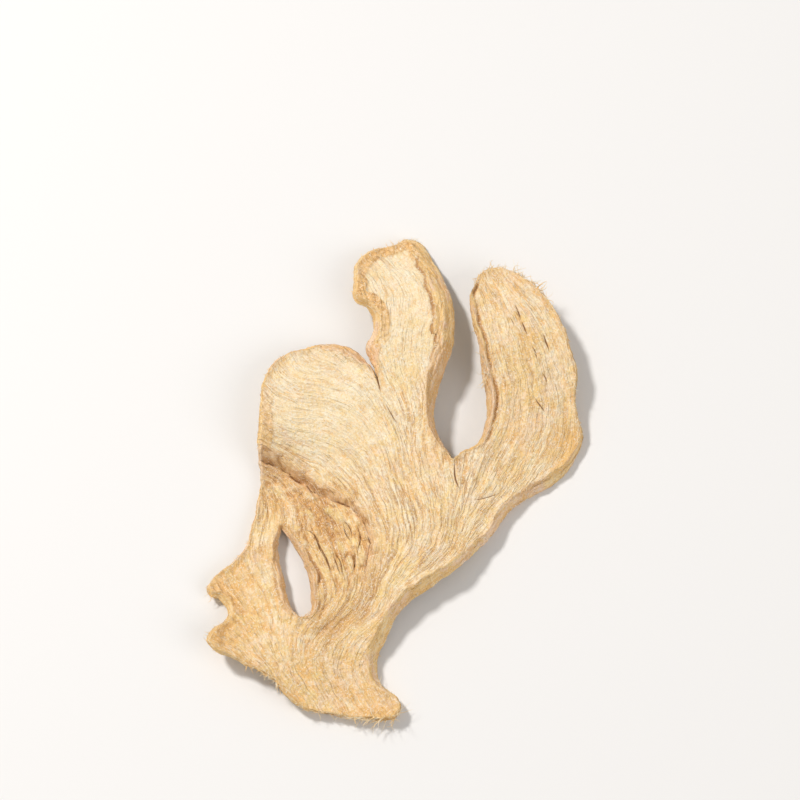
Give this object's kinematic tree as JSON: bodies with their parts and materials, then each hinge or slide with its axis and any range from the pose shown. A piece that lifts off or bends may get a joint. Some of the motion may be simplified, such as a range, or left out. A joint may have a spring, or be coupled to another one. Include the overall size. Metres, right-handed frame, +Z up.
{
  "type": "dried ginger root slice",
  "caption": "Dried slice of ginger root cut lengthwise: a hand-shaped warped sheet with finger lobes, a lens-shaped hole and a rim of skin.",
  "frame": {"origin": "middle of the box round the slice, on the surface that it rests on", "axes": "+Y along the slice toward its fingers, +Z up through its thickness"},
  "size_m": [0.0745, 0.1017, 0.0103],
  "materials": {
    "dried_ginger": "matt dried root flesh, cream to ochre, with fibres along it and tan skin at the edge"
  },
  "bodies": {
    "root": {"ginger_slice": "dried_ginger"}
  },
  "joints": []
}
